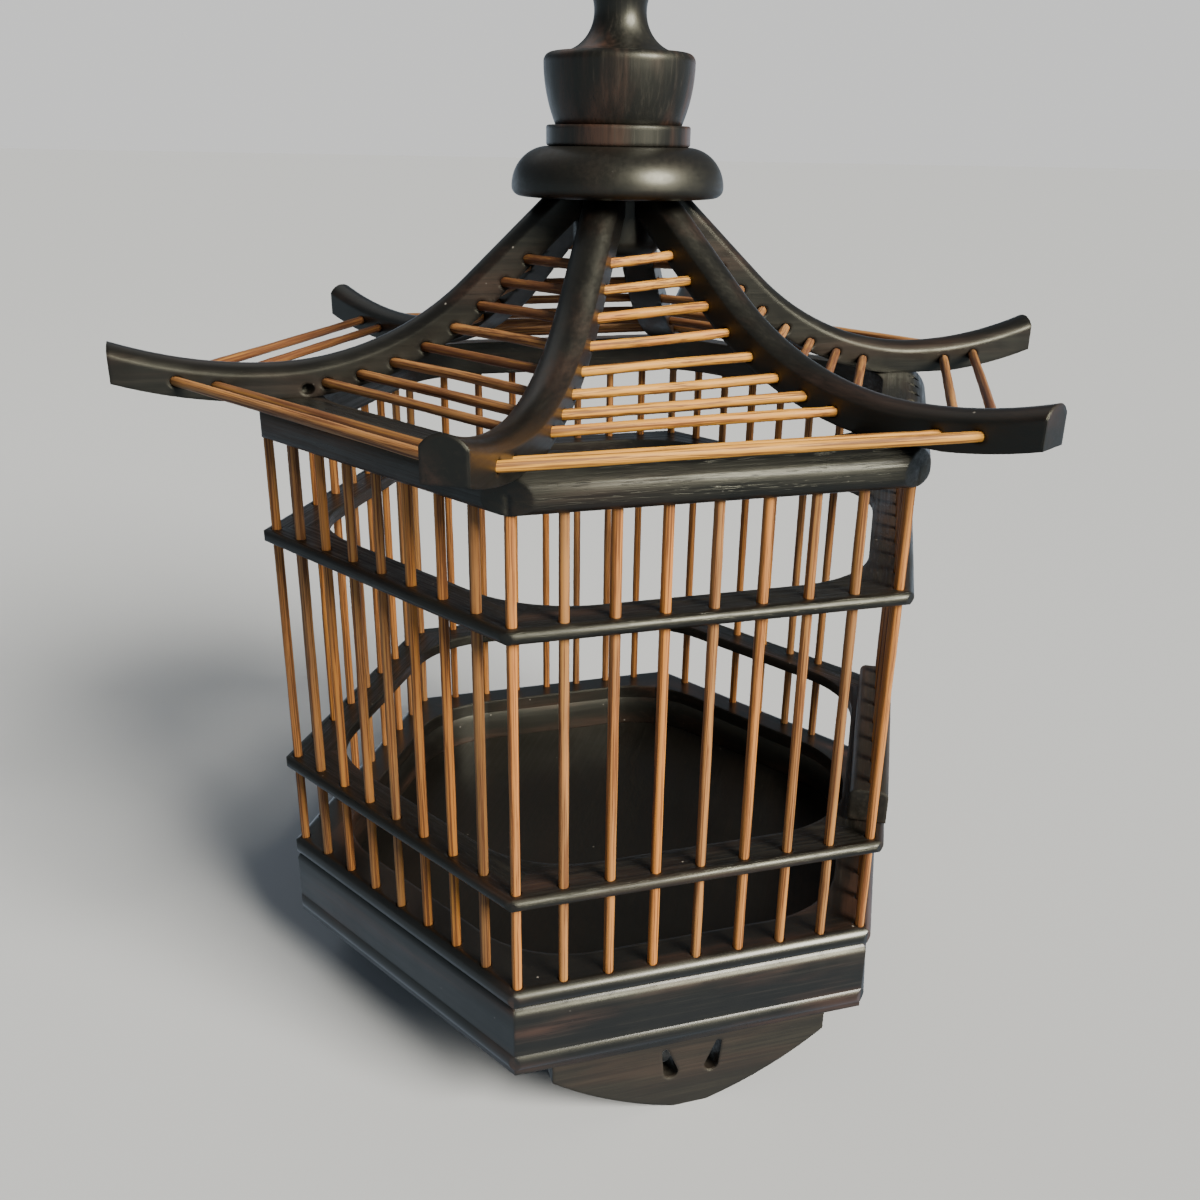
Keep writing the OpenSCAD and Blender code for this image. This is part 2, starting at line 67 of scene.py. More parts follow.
# Direction that each side of the cage faces, in degrees
SIDE_ANGLES = {
    "back_right": 30,
    "back": 90,
    "back_left": 150,
    "front_left": 210,
    "front": 270,
    "front_right": 330,
}
DOOR_SIDE = "front"
DOOR_SET = "door_bars"
WALL_SETS = ["corner_bars", "sill_bars"] + [
    f"wall_bars_{side}" for side in SIDE_ANGLES if side != DOOR_SIDE
]
ROOF_SETS = {f"roof_bars_{side}": angle for side, angle in SIDE_ANGLES.items()}
# The roof side whose bars get pale tones: partly paler bamboo, partly painted light where the main light
# falls on that side
PALE_AND_PAINTED_LIGHT_SET = "roof_bars_front_left"
WALL_FINISH = "split_bamboo_walls"
ROOF_FINISH = "split_bamboo_roof"

# Tones of the darkest and the lightest bar: 0 is dark bamboo, 1 is light bamboo and more is pale. On the
# roof, the dark tones of most sides are partly darker bamboo and partly painted shade, and the pale tones of
# one side are partly paler bamboo and partly painted light
WALL_TONES = (-0.1, 1.05)
ROOF_DARK_AND_PAINTED_SHADE_TONES = (-0.8, 0.0)
PALE_AND_PAINTED_LIGHT_TONES = (1.3, 1.9)

# A bar is modelled at one length and then stretched to its own
PATTERN_LENGTH = 0.07
KNIFE_FLATS = 4
FLATS_TURN = 6
FLAT_SHARES = (0.4, 1)
BOW_SHARES = (0.3, 1)
SAME_ROW = 0.99
SMOOTH_BELOW = math.radians(50)
WELD = 1e-6

# Carried CAD nodes by the finish of their dark wood: how it was cut, how rough it is, how much figure and
# relief its grain shows, how dull it has become and how much wax is on it
WOODS = {
    "blackwood_base": (
        ["base_frame"],
        dict(cut="side", rough=0.34, figure=1.4, relief=0.06, coat=0.55, rolled=True)),
    "blackwood_door": (
        ["door_rail"],
        dict(cut="side", rough=0.42, figure=2.0, relief=0.2, dull=0.25)),
    "blackwood_ring": (
        ["lower_ring", "upper_ring", "eave_ring"],
        dict(cut="side", rough=0.38, figure=0.7, relief=0.36)),
    "blackwood_foot": (
        ["foot_front_left", "foot_front_right", "foot_back"],
        dict(cut="side", rough=0.48, figure=1.0, relief=0.25, dull=0.4)),
    "blackwood_rib": (
        ["rib_right", "rib_back_right", "rib_back_left", "rib_left", "rib_front_left", "rib_front_right"],
        dict(cut="rib", rough=0.33, figure=0.5, relief=0.08)),
    "blackwood_turned": (
        ["collar", "finial", "finial_dowel"],
        dict(cut="turned", rough=0.38, figure=2.0, relief=0.1)),
    "blackwood_plain": (
        ["roof_hub", "roof_boss"],
        dict(cut="board", rough=0.40, figure=0.15, relief=0.08)),
    "blackwood_board": (
        ["floor_panel"],
        dict(cut="board", rough=0.42, figure=0.08, relief=0.1)),
}

# Patterns: times that each changes in a metre along X, Y and Z, then its detail and roughness.
# The grain of dark wood runs along X, the fibres of a bar along Z.
BROAD_FIGURE = ((22, 150, 150), 3.0, 0.5)
GRAIN_LINES = ((34, 1500, 1500), 4.0, 0.65)
PORES = ((300, 6000, 6000), 2.0, 0.5)
SMEARS = ((95, 95, 95), 3.0, 0.6)
FIBRES = ((2900, 2900, 36), 4.0, 0.7)
BAR_FIGURE = ((800, 800, 60), 2.0, 0.5)
SPECK_CELLS = 420.0

# Steps along X and Z by which neighbouring pieces lie apart in one pattern
BOARDS_APART = (0.731, 0.117)
BARS_APART = (3.7, 9.1)

# Dark wood: values at which something starts and is full, and its shares there if they aren't 0 and 1
STREAKS = (0.46, 0.74)
STREAK_LINES = (0.30, 0.66, 0.45, 1.0)
PALE_LINES = (0.54, 0.72)
OPEN_PORES = (0.58, 0.70)
EASED_EDGES = (0.995, 0.86)
RUBBED_SPOTS = (0.40, 0.66)
SPECK_SIZES = (0.11, 0.04)
SPECK_CHOICE = (0.87, 0.95)
SMEAR_SHEEN = (0.35, 0.7)
LINE_SHEEN = (0.35, 0.65)

# Dark wood: how strongly each of them shows in its colour, roughness and height
PALE_LINE_SHARE = 0.3
PORE_SHARE = 0.6
PORE_COLOUR = (0.0015, 0.0012, 0.001)
RUBBED_SHARE = 0.55
SPECK_SHARE = 0.6
SMEAR_ROUGH = 0.1
RUBBED_ROUGH = 0.12
LINE_GLOSS = -0.3
LINE_ROUGH = 0.5
LINE_HEIGHT = 0.7
PORE_HEIGHT = 0.5
GRAIN_DEPTH = 0.0002
WOOD_SPECULAR = 0.55
WAX_ROUGH = 0.2
EDGE_SAMPLES = 4

# Bamboo: values at which something starts and is full, and its shares there
FIGURE_TONES = (0.3, 0.7, -0.25, 0.25)
# Below a tone of 0.1 a bar darkens towards the fibre colour; on the roof's dark sides this is partly painted
# shade
DEEP_TONES = (0.1, -0.7, 0.0, 0.75)
# Above a tone of 0.9 a bar pales; on the pale roof side this is partly painted light
PALE_TONES = (0.9, 1.7, 0.0, 0.8)
PALE_FIBRES = (0.47, 0.37, 0.0, 0.25)
DARK_FIBRES = (0.49, 0.57, 0.0, 0.8)
FIBRE_ROUGH = (0.3, 0.7, 0.46, 0.62)
FIBRE_RELIEF = 0.5
FIBRE_DEPTH = 0.0001
BAMBOO_SPECULAR = 0.3

# Stage: where the horizon's light starts and ends to fade upwards, downwards and away from straight ahead
SKY_FADE = (0.04, 0.22)
GROUND_FADE = (-0.03, -0.3)
ROOM_FADE = (0.84, 0.5)
LIGHT_DISTANCE = 0.8
REAR_SIDE = math.radians(150)
REAR_HEIGHT = math.radians(50)
REAR_SIZE = 0.5
FLOOR_ROUGH = 0.8
SENSOR_WIDTH = 36
CAMERA_RANGE = (0.005, 100)


class CageBars(bpy.types.PropertyGroup):
    """How the split bamboo bars are made"""

    radius: FloatProperty(
        name="Radius", description="Mean radius of a bamboo bar",
        default=0.00086, unit="LENGTH", subtype="DISTANCE")
    sides: IntProperty(
        name="Sides", description="Faces round a bar", default=12, min=8, max=24)
    cuts: IntProperty(
        name="Cuts", description="Rings of points along a bar", default=13, min=5, max=31)
    wander: FloatProperty(
        name="Uneven thickness", description="Share by which a bar's thickness wanders along it",
        default=0.035, min=0, max=0.1)
    flats: FloatProperty(
        name="Flats", description="Depth of the flats that the knife leaves along a bar",
        default=0.00005, unit="LENGTH", subtype="DISTANCE")
    bow: FloatProperty(
        name="Bow", description="Bow of a roof bar at its middle",
        default=0.0002, unit="LENGTH", subtype="DISTANCE")
    end_round: FloatProperty(
        name="End rounding", description="Rounding at the ends of a bar",
        default=0.0002, unit="LENGTH", subtype="DISTANCE")
    patterns: IntProperty(
        name="Patterns", description="Different bars that are made and then copied", default=5, min=1, max=12)
    seed: IntProperty(name="Seed", description="Seed of the bars' unevenness and tone", default=11)


class CageFinish(bpy.types.PropertyGroup):
    """Colours of the wood and the bamboo"""

    heartwood: FloatVectorProperty(
        name="Heartwood", description="Near-black ground of the dark wood",
        subtype="COLOR", size=3, min=0, max=1, default=(0.0052, 0.0044, 0.0038))
    streak: FloatVectorProperty(
        name="Streak", description="Red-brown streaks in the dark wood",
        subtype="COLOR", size=3, min=0, max=1, default=(0.050, 0.024, 0.016))
    worn: FloatVectorProperty(
        name="Worn edge", description="Dark wood where its edges are rubbed",
        subtype="COLOR", size=3, min=0, max=1, default=(0.030, 0.024, 0.019))
    dust: FloatVectorProperty(
        name="Dust", description="Specks of dust on the dark wood",
        subtype="COLOR", size=3, min=0, max=1, default=(0.34, 0.31, 0.27))
    bamboo_light: FloatVectorProperty(
        name="Light bamboo", description="Bamboo of the light bars",
        subtype="COLOR", size=3, min=0, max=1, default=(0.56, 0.21, 0.047))
    bamboo_dark: FloatVectorProperty(
        name="Dark bamboo", description="Bamboo of the dark bars",
        subtype="COLOR", size=3, min=0, max=1, default=(0.36, 0.170, 0.060))
    # Also the colour that the darkest bars tend to, which on the roof's dark sides is partly painted shade
    bamboo_fibre: FloatVectorProperty(
        name="Bamboo fibre", description="Dark fibres along the bars",
        subtype="COLOR", size=3, min=0, max=1, default=(0.105, 0.036, 0.014))
    # Also the colour of the pale roof side's bars, which is partly painted light
    bamboo_pale: FloatVectorProperty(
        name="Pale bamboo", description="Pale fibres along the bars, and the bleached bars",
        subtype="COLOR", size=3, min=0, max=1, default=(0.63, 0.305, 0.040))
    gloss: FloatVectorProperty(
        name="Gloss", description="Tint of the waxed gloss",
        subtype="COLOR", size=3, min=0, max=1, default=(0.98, 0.97, 0.78))
    edge_round: FloatProperty(
        name="Eased edges", description="Radius to which light rounds the edges of the dark wood",
        default=0.0008, unit="LENGTH", subtype="DISTANCE")
    roll_top: FloatProperty(
        name="Roll top", description="Height of the upper edge of the base's band above the floor",
        default=0.028, unit="LENGTH", subtype="DISTANCE")
    roll_depth: FloatProperty(
        name="Roll depth", description="Height over which the base's band rolls back to its upper edge",
        default=0.005, unit="LENGTH", subtype="DISTANCE")
    roll_fall: FloatProperty(
        name="Roll fall", description="Depth to which the light rolls the band back at its upper edge",
        default=0.0010, unit="LENGTH", subtype="DISTANCE")


class CageStage(bpy.types.PropertyGroup):
    """Floor, lights and camera"""

    floor: FloatVectorProperty(
        name="Floor", description="Colour of the floor",
        subtype="COLOR", size=3, min=0, max=1, default=(0.55, 0.56, 0.575))
    floor_size: FloatProperty(
        name="Floor size", description="Length of a side of the floor",
        default=24.0, unit="LENGTH", subtype="DISTANCE")
    backdrop: FloatVectorProperty(
        name="Backdrop", description="Colour of the plain backdrop that the camera sees",
        subtype="COLOR", size=3, min=0, max=1, default=(0.86, 0.862, 0.853))
    air: FloatVectorProperty(
        name="Air", description="Colour of the soft light from all round",
        subtype="COLOR", size=3, min=0, max=1, default=(0.47, 0.556, 0.66))
    horizon: FloatProperty(
        name="Horizon light", description="Strength of the light at the horizon", default=1.55, min=0)
    ground: FloatProperty(
        name="Ground light", description="Strength of the light from below", default=0.8, min=0)
    room: FloatProperty(
        name="Room light", description="Share of the horizon's light that is left away from the backdrop",
        default=0.45, min=0, max=1)
    sky: FloatProperty(
        name="Sky light", description="Strength of the light from above", default=0.24, min=0)
    window: FloatProperty(
        name="Window light", description="Strength of the main light, at the camera's right",
        default=8.6, min=0)
    window_colour: FloatVectorProperty(
        name="Window colour", description="Colour of the main light",
        subtype="COLOR", size=3, min=0, max=1, default=(1.0, 0.96, 0.86))
    window_side: FloatProperty(
        name="Window side", description="Angle from the camera round to the main light",
        subtype="ANGLE", unit="ROTATION", default=math.radians(49))
    window_height: FloatProperty(
        name="Window height", description="Angle of the main light above the floor",
        subtype="ANGLE", unit="ROTATION", default=math.radians(32))
    window_width: FloatProperty(
        name="Window width", description="Angle that the main light spans",
        subtype="ANGLE", unit="ROTATION", default=math.radians(30))
    rear: FloatProperty(
        name="Rear light", description="Power of the soft light behind the cage",
        default=0.3, min=0, unit="POWER")
    camera_at: FloatVectorProperty(
        name="Camera place", description="Place of the camera",
        subtype="TRANSLATION", unit="LENGTH", size=3, default=(-0.19896, -0.04602, 0.15502))
    azimuth: FloatProperty(
        name="Azimuth", description="Direction from the cage to the camera, round from the front",
        subtype="ANGLE", unit="ROTATION", default=math.radians(-76.45))
    elevation: FloatProperty(
        name="Elevation", description="Angle by which the camera looks down",
        subtype="ANGLE", unit="ROTATION", default=math.radians(21.72))
    roll: FloatProperty(
        name="Roll", description="Tilt of the camera about its line of sight",
        subtype="ANGLE", unit="ROTATION", default=math.radians(0.85))
    lens: FloatProperty(
        name="Lens", description="Focal length on a 36 mm sensor, in millimetres", default=34.425)


# Selecting and placing


def clear_selection():
    if bpy.context.object and bpy.context.object.mode != "OBJECT":
        bpy.ops.object.mode_set(mode="OBJECT")
    bpy.ops.object.select_all(action="DESELECT")


def pick(piece, parts, test):
    """Selects only the points, edges or faces of a piece in edit mode that pass a test"""
    bpy.ops.mesh.select_mode(type={"verts": "VERT", "edges": "EDGE", "faces": "FACE"}[parts])
    bpy.ops.mesh.select_all(action="DESELECT")
    mesh = bmesh.from_edit_mesh(piece.data)
    found = [part for part in getattr(mesh, parts) if test(part)]
    for part in found:
        part.select_set(True)
    mesh.select_flush_mode()
    bmesh.update_edit_mesh(piece.data)
    if not found:
        raise RuntimeError(f"nothing to shape on {piece.name}")


def box_middle(points):
    return Vector([(min(place) + max(place)) / 2 for place in zip(*points)])


def bar_lines(node, along):
    """Start and end, in one direction, of each bar in a CAD node"""
    mesh = bmesh.new()
    mesh.from_mesh(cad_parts[node].data)
    bmesh.ops.remove_doubles(mesh, verts=mesh.verts, dist=WELD)
    mesh.verts.index_update()
    met = set()
    lines = []
    for first in mesh.verts:
        if first.index in met:
            continue
        met.add(first.index)
        bar = [first]
        for vert in bar:
            for edge in vert.link_edges:
                other = edge.other_vert(vert)
                if other.index not in met:
                    met.add(other.index)
                    bar.append(other)
        runs = [vert.co.dot(along) for vert in bar]
        middle = (min(runs) + max(runs)) / 2
        lines.append(tuple(
            box_middle([vert.co for vert, run in zip(bar, runs) if (run > middle) == late])
            for late in (False, True)))
    mesh.free()
    return lines


def direction(azimuth, elevation):
    """Direction from the cage, round from the front and up from the floor"""
    return Vector((
        math.sin(azimuth) * math.cos(elevation),
        -math.cos(azimuth) * math.cos(elevation),
        math.sin(elevation)))


# Bamboo bars


def stick_pattern(name, chance, bow):
    """One upright bar of split bamboo: slightly uneven, with knife flats, a bow and eased ends"""
    look = bpy.context.scene.cage_bars
    top = PATTERN_LENGTH / 2
    step = PATTERN_LENGTH / (look.cuts + 1)
    near = step / 4
    clear_selection()
    bpy.ops.mesh.primitive_cylinder_add(
        vertices=look.sides, radius=look.radius, depth=PATTERN_LENGTH, end_fill_type="NGON")
    stick = bpy.context.object
    stick.name = name
    bpy.ops.object.mode_set(mode="EDIT")
    pick(stick, "edges", lambda edge: abs(edge.verts[0].co.z - edge.verts[1].co.z) > top)
    bpy.ops.mesh.subdivide(number_cuts=look.cuts)
    for ring in range(look.cuts + 2):
        height = ring * step - top
        size = 1 - abs(chance.gauss(0, look.wander))
        pick(stick, "verts", lambda vert: abs(vert.co.z - height) < near)
        bpy.ops.transform.resize(value=(size, size, 1), center_override=(0, 0, height))
    turn = chance.random()
    for row in range(look.sides):
        angle = math.tau * row / look.sides
        out = Vector((math.sin(angle), math.cos(angle), 0))
        wave = math.cos(KNIFE_FLATS * angle + FLATS_TURN * turn) - 1
        depth = look.flats * wave * chance.uniform(*FLAT_SHARES)
        pick(stick, "verts", lambda vert: vert.co.xy.normalized().dot(out.xy) > SAME_ROW)
        bpy.ops.transform.translate(value=out * depth)
    pick(stick, "edges", lambda edge: all(abs(vert.co.z) > top - near for vert in edge.verts))
    bpy.ops.mesh.bevel(offset=look.end_round, segments=2, affect="EDGES")
    bpy.ops.object.mode_set(mode="OBJECT")
    strand = stick.data.attributes.new("strand", "FLOAT_VECTOR", "POINT")
    strand.data.foreach_set("vector", [x for vert in stick.data.vertices for x in vert.co])
    if bow:
        bpy.ops.object.mode_set(mode="EDIT")
        pick(stick, "verts", lambda vert: abs(vert.co.z) < near)
        bpy.ops.transform.translate(
            value=(bow, 0, 0), use_proportional_edit=True, proportional_edit_falloff="SMOOTH",
            proportional_size=top)
        bpy.ops.object.mode_set(mode="OBJECT")
    bpy.ops.object.shade_smooth_by_angle(angle=SMOOTH_BELOW)
    return stick


def stick_patterns(chance, bowed):
    look = bpy.context.scene.cage_bars
    bows = [look.bow * chance.uniform(*BOW_SHARES) if bowed else 0 for _ in range(look.patterns)]
    return [stick_pattern(f"pattern_{i}", chance, bow) for i, bow in enumerate(bows)]


def remove_patterns(patterns):
    for pattern in patterns:
        mesh = pattern.data
        bpy.data.objects.remove(pattern)
        bpy.data.meshes.remove(mesh)


def bar_set(node, along, patterns, chance, finish, tones):
    """Stands for a CAD node of bars: a copy of a pattern for each bar, joined to one piece"""
    copies = []
    for start, end in bar_lines(node, along):
        pattern = chance.choice(patterns)
        mesh = pattern.data.copy()
        span = end - start
        turn = Matrix.Rotation(chance.uniform(0, math.tau), 4, "Z")
        stretch = Matrix.Diagonal((1, 1, span.length / pattern.dimensions.z, 1))
        mesh.transform(
            Matrix.Translation((start + end) / 2)
            @ span.to_track_quat("Z", "Y").to_matrix().to_4x4() @ stretch @ turn)
        tone = mesh.attributes.new("tone", "FLOAT", "POINT")
        shade = chance.uniform(*tones)
        tone.data.foreach_set("value", [shade] * len(mesh.vertices))
        mesh.materials.clear()
        mesh.materials.append(finish)
        copy = bpy.data.objects.new(f"{node}_{len(copies)}", mesh)
        bpy.context.scene.collection.objects.link(copy)
        copies.append(copy)
    clear_selection()
    for copy in copies:
        copy.select_set(True)
    bpy.context.view_layer.objects.active = copies[0]
    bpy.ops.object.join()
    piece = bpy.context.object
    piece.name = f"bamboo_{node}"
    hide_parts(node)
    return piece


# Finishes


class Graph:
    """Nodes of a material or of the world"""

    # A Mix node's sockets for its share, for two colours and for the colour that comes of them
    MIX_SHARE = 0
    MIX_COLOURS = (6, 7)
    MIX_RESULT = 2

    def __init__(self, tree):
        self.nodes = tree.nodes
        self.links = tree.links
        self.nodes.clear()

    def feed(self, socket, value):
        if isinstance(value, bpy.types.NodeSocket):
            self.links.new(value, socket)
        else:
            socket.default_value = value

    def node(self, kind, inputs=(), **settings):
        made = self.nodes.new("ShaderNode" + kind)
        for key, value in settings.items():
            setattr(made, key, value)
        for key, value in dict(inputs).items():
            self.feed(made.inputs[key], value)
        return made

    def math(self, operation, a, b=0.0, clamp=False):
        return self.node("Math", {0: a, 1: b}, operation=operation, use_clamp=clamp).outputs[0]

    def vector(self, operation, a, b):
        made = self.node("VectorMath", {0: a, 1: b}, operation=operation)
        return made.outputs["Value" if operation == "DOT_PRODUCT" else "Vector"]

    def turned(self, at, axis, angle):
        return self.node("VectorRotate", {"Vector": at, "Angle": angle}, rotation_type=axis).outputs[0]

    def apart(self, at, count, steps):
        """Place moved along X and Z by so many steps"""
        moves = {axis: self.math("MULTIPLY", count, step) for axis, step in zip("XZ", steps)}
        return self.vector("ADD", at, self.node("CombineXYZ", moves).outputs[0])

    def noise(self, at, scales, detail, rough):
        stretched = self.vector("MULTIPLY", at, scales)
        made = self.node(
            "TexNoise", {"Vector": stretched, "Scale": 1.0, "Detail": detail, "Roughness": rough})
        return made.outputs["Fac"]

    def between(self, value, low, high, first=0.0, last=1.0, how="SMOOTHSTEP"):
        """Value from low to high as a step from first to last"""
        ends = {"From Min": low, "From Max": high, "To Min": first, "To Max": last}
        return self.node("MapRange", {"Value": value, **ends}, interpolation_type=how).outputs["Result"]

    def mix(self, share, *colours):
        made = self.node("Mix", {self.MIX_SHARE: share}, data_type="RGBA")
        for key, colour in zip(self.MIX_COLOURS, colours):
            plain = not isinstance(colour, bpy.types.NodeSocket)
            self.feed(made.inputs[key], (*colour, 1) if plain else colour)
        return made.outputs[self.MIX_RESULT]


class Finish(Graph):
    """Nodes of one material, round its shader"""

    def __init__(self, name):
        self.material = bpy.data.materials.new(name)
        self.material.use_nodes = True
        super().__init__(self.material.node_tree)
        self.shader = self.node("BsdfPrincipled")
        self.node("OutputMaterial", {"Surface": self.shader.outputs[0]})

    def dress(self, sockets):
        """Feeds the shader and gives the finished material"""
        for key, value in sockets.items():
            self.feed(self.shader.inputs[key], value)
        return self.material


def grain_at(graph, place, cut):
    """Place in the wood, with X along the grain, for wood cut in that way"""
    if cut == "board":
        return place
    if cut == "turned":
        return graph.turned(place, "Y_AXIS", math.pi / 2)
    xyz = graph.node("SeparateXYZ", {0: place}).outputs
    sixths = graph.math("DIVIDE", graph.math("ARCTAN2", xyz["Y"], xyz["X"]), SIXTH)
    if cut == "rib":
        count = graph.math("FLOORED_MODULO", graph.math("ROUND", sixths), 6.0)
        facing = graph.math("MULTIPLY", count, -SIXTH)
    else:
        count = graph.math("FLOOR", sixths)
        facing = graph.math("SUBTRACT", -SIXTH / 2 - math.pi / 2, graph.math("MULTIPLY", count, SIXTH))
    return graph.apart(graph.turned(place, "Z_AXIS", facing), count, BOARDS_APART)


def band_roll(graph, place, normal):
    """Normal of the base's band, rolled back towards its upper edge"""
    look = bpy.context.scene.cage_finish
    level = graph.node("SeparateXYZ", {0: place}).outputs["Z"]
    rise = graph.math("SUBTRACT", level, look.roll_top - look.roll_depth)
    rise = graph.math("DIVIDE", rise, look.roll_depth, clamp=True)
    back = graph.math("MULTIPLY", graph.math("MULTIPLY", rise, rise), -look.roll_fall)
    rolled = graph.node("Bump", {"Strength": 1.0, "Distance": 1.0, "Height": back, "Normal": normal})
    return rolled.outputs[0]


def dark_wood(name, cut, rough, figure, relief, dull=0.0, coat=0.12, rolled=False):
    """Near-black hardwood with red-brown streaks, fine open pores, rubbed edges and a waxed sheen"""
    look = bpy.context.scene.cage_finish
    graph = Finish(name)
    place = graph.node("TexCoord").outputs["Object"]
    grain = grain_at(graph, place, cut)
    broad = graph.noise(grain, *BROAD_FIGURE)
    lines = graph.noise(grain, *GRAIN_LINES)
    pores = graph.noise(grain, *PORES)
    smear = graph.noise(place, *SMEARS)

    streaks = graph.between(broad, *STREAKS)
    streaks = graph.math("MULTIPLY", streaks, graph.between(lines, *STREAK_LINES))
    streaks = graph.math("MULTIPLY", streaks, figure)
    colour = graph.mix(streaks, look.heartwood, look.streak)
    pale = graph.between(lines, *PALE_LINES, 0.0, PALE_LINE_SHARE * figure)
    colour = graph.mix(pale, colour, look.worn)
    colour = graph.mix(graph.between(pores, *OPEN_PORES, 0.0, PORE_SHARE), colour, PORE_COLOUR)
    if dull:
        colour = graph.mix(dull, colour, look.worn)

    eased = graph.node("Bevel", {"Radius": look.edge_round}, samples=EDGE_SAMPLES).outputs[0]
    facing = graph.vector("DOT_PRODUCT", eased, graph.node("NewGeometry").outputs["Normal"])
    rubbed = graph.between(facing, *EASED_EDGES)
    rubbed = graph.math("MULTIPLY", rubbed, graph.between(smear, *RUBBED_SPOTS))
    colour = graph.mix(graph.math("MULTIPLY", rubbed, RUBBED_SHARE), colour, look.worn)

    cells = graph.node("TexVoronoi", {"Vector": place, "Scale": SPECK_CELLS})
    chosen = graph.node("SeparateColor", {0: cells.outputs["Color"]}).outputs[0]
    speck = graph.between(cells.outputs["Distance"], *SPECK_SIZES)
    speck = graph.math("MULTIPLY", speck, graph.between(chosen, *SPECK_CHOICE))
    colour = graph.mix(graph.math("MULTIPLY", speck, SPECK_SHARE), colour, look.dust)

    dry = graph.math("MULTIPLY", graph.math("ADD", rubbed, speck), RUBBED_ROUGH)
    sheen = graph.math("ADD", graph.between(smear, *SMEAR_SHEEN, rough, rough + SMEAR_ROUGH), dry)
    dry_lines = graph.between(lines, *LINE_SHEEN, LINE_GLOSS * relief, LINE_ROUGH * relief)
    sheen = graph.math("ADD", sheen, dry_lines)

    closed = graph.between(pores, *OPEN_PORES, PORE_HEIGHT, 0.0)
    height = graph.math("ADD", graph.math("MULTIPLY", lines, LINE_HEIGHT), closed)
    if rolled:
        eased = band_roll(graph, place, eased)
    bump = graph.node(
        "Bump", {"Strength": relief, "Distance": GRAIN_DEPTH, "Height": height, "Normal": eased})
    return graph.dress({
        "Base Color": colour,
        "Roughness": sheen,
        "Normal": bump.outputs[0],
        "Specular IOR Level": WOOD_SPECULAR,
        "Specular Tint": (*look.gloss, 1),
        "Coat Weight": coat,
        "Coat Roughness": WAX_ROUGH,
    })


def bamboo(name):
    """Split bamboo: each bar with its own tone, dark fibres along it and a dull natural gloss"""
    look = bpy.context.scene.cage_finish
    graph = Finish(name)
    strand = graph.node("Attribute", attribute_name="strand").outputs["Vector"]
    tone = graph.node("Attribute", attribute_name="tone").outputs["Fac"]
    place = graph.apart(strand, tone, BARS_APART)
    fibre = graph.noise(place, *FIBRES)
    broad = graph.noise(place, *BAR_FIGURE)
    shade = graph.math("ADD", tone, graph.between(broad, *FIGURE_TONES))
    colour = graph.mix(shade, look.bamboo_dark, look.bamboo_light)
    # Dark tones are partly painted shade on the roof's dark sides; pale tones are partly painted light on its
    # pale side
    colour = graph.mix(graph.between(shade, *DEEP_TONES), colour, look.bamboo_fibre)
    colour = graph.mix(graph.between(shade, *PALE_TONES), colour, look.bamboo_pale)
    colour = graph.mix(graph.between(fibre, *PALE_FIBRES), colour, look.bamboo_pale)
    colour = graph.mix(graph.between(fibre, *DARK_FIBRES), colour, look.bamboo_fibre)
    bump = graph.node("Bump", {"Strength": FIBRE_RELIEF, "Distance": FIBRE_DEPTH, "Height": fibre})
    return graph.dress({
        "Base Color": colour,
        "Roughness": graph.between(fibre, *FIBRE_ROUGH),
        "Normal": bump.outputs[0],
        "Specular IOR Level": BAMBOO_SPECULAR,
    })


# Stage


def make_floor(look):
    """Floor that the camera sees but that doesn't show in the wood's gloss"""
    clear_selection()
    bpy.ops.mesh.primitive_plane_add(size=look.floor_size, location=(0, 0, CAD_LOW.z))
    floor = bpy.context.object
    floor.name = "floor"
    floor.data.materials.append(
        Finish("floor").dress({"Base Color": (*look.floor, 1), "Roughness": FLOOR_ROUGH}))
    floor.visible_diffuse = False
    floor.visible_glossy = False


def make_air(look):
    """Soft light from all round, strongest ahead at the horizon, and a plain backdrop for the camera"""
    world = bpy.data.worlds.new("air")
    world.use_nodes = True
    graph = Graph(world.node_tree)
    way = graph.node("TexCoord").outputs["Generated"]
    height = graph.node("SeparateXYZ", {0: way}).outputs["Z"]
    ahead = graph.vector("DOT_PRODUCT", way, (-math.sin(look.azimuth), math.cos(look.azimuth), 0))
    strength = look.horizon
    for value, fade, far in (
            (height, SKY_FADE, look.sky),
            (height, GROUND_FADE, look.ground),
            (ahead, ROOM_FADE, look.horizon * look.room)):
        faded = graph.between(value, *fade, look.horizon, far, how="LINEAR")
        strength = graph.math("MINIMUM", strength, faded)
    air = graph.node("Background", {"Color": (*look.air, 1), "Strength": strength})
    backdrop = graph.node("Background", {"Color": (*look.backdrop, 1)})
    seen = graph.node("LightPath").outputs["Is Camera Ray"]
    shown = graph.node("MixShader", {0: seen, 1: air.outputs[0], 2: backdrop.outputs[0]})
    graph.node("OutputWorld", {"Surface": shown.outputs[0]})
    bpy.context.scene.world = world


def make_light(name, kind, azimuth, elevation):
    """Light that looks at the middle of the cage"""
    away = direction(azimuth, elevation)
    clear_selection()
    bpy.ops.object.light_add(type=kind, location=(CAD_LOW + CAD_HIGH) / 2 + away * LIGHT_DISTANCE)
    light = bpy.context.object
    light.name = name
    light.rotation_euler = away.to_track_quat("Z", "Y").to_euler()
    light.visible_camera = False
    return light


